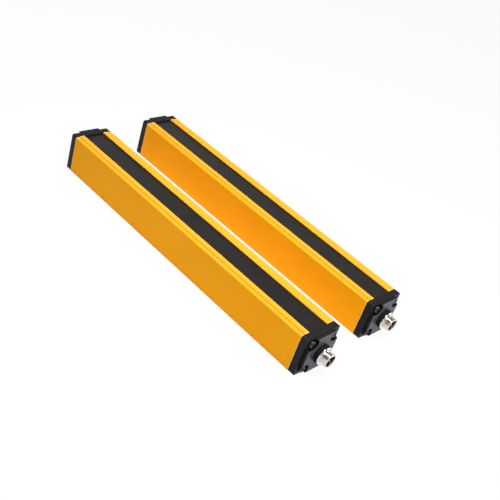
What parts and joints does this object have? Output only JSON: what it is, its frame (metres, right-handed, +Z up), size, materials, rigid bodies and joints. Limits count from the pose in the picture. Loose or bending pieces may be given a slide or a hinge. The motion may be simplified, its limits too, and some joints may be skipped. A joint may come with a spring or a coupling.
{
  "type": "safety light curtain",
  "caption": "Emitter and receiver bars of a safety light curtain, yellow profiles with black windows, screwed end caps and M12 connectors, lying on their backs.",
  "frame": {"origin": "middle of the pair's box, on the surface that both bars lie on", "axes": "+X along the bars towards their connectors, +Y from the emitter bar to the receiver bar, +Z up, out of the windows"},
  "size_m": [0.313, 0.12, 0.035],
  "materials": {
    "yellow_aluminium": "satin yellow powder coat on extruded aluminium",
    "window_black": "black infrared-pass plastic, soft gloss",
    "seal_rubber": "black rubber",
    "cap_black": "black glass-filled moulding, fine texture",
    "screw_black": "black oxide",
    "nickel": "nickel-plated brass",
    "insert_black": "black moulded plastic",
    "contact_gold": "gold-plated contacts",
    "board_green": "green solder mask",
    "lens_clear": "clear moulded acrylic",
    "capacitor_can": "bare aluminium can"
  },
  "bodies": {
    "root": {"emitter_blind_end_cap": "cap_black", "emitter_blind_end_gasket": "seal_rubber", "emitter_blind_end_screws": "screw_black", "emitter_board_header": "insert_black", "emitter_capacitors": "capacitor_can", "emitter_connector_collar": "seal_rubber", "emitter_connector_end_cap": "cap_black", "emitter_connector_end_gasket": "seal_rubber", "emitter_connector_end_screws": "screw_black", "emitter_connector_insert": "insert_black", "emitter_connector_nut": "nickel", "emitter_connector_pins": "contact_gold", "emitter_connector_shell": "nickel", "emitter_control_chips": "insert_black", "emitter_diodes": "lens_clear", "emitter_front_window": "window_black", "emitter_indicator_leds": "lens_clear", "emitter_lens_carrier": "insert_black", "emitter_lens_strip": "lens_clear", "emitter_light_pipe": "lens_clear", "emitter_optics_board": "board_green", "emitter_profile": "yellow_aluminium", "emitter_terminal_board": "board_green", "emitter_window_seals": "seal_rubber", "receiver_blind_end_cap": "cap_black", "receiver_blind_end_gasket": "seal_rubber", "receiver_blind_end_screws": "screw_black", "receiver_board_header": "insert_black", "receiver_capacitors": "capacitor_can", "receiver_connector_collar": "seal_rubber", "receiver_connector_end_cap": "cap_black", "receiver_connector_end_gasket": "seal_rubber", "receiver_connector_end_screws": "screw_black", "receiver_connector_insert": "insert_black", "receiver_connector_nut": "nickel", "receiver_connector_pins": "contact_gold", "receiver_connector_shell": "nickel", "receiver_control_chips": "insert_black", "receiver_diodes": "lens_clear", "receiver_front_window": "window_black", "receiver_indicator_leds": "lens_clear", "receiver_lens_carrier": "insert_black", "receiver_lens_strip": "lens_clear", "receiver_light_pipe": "lens_clear", "receiver_optics_board": "board_green", "receiver_profile": "yellow_aluminium", "receiver_terminal_board": "board_green", "receiver_window_seals": "seal_rubber"}
  },
  "joints": []
}
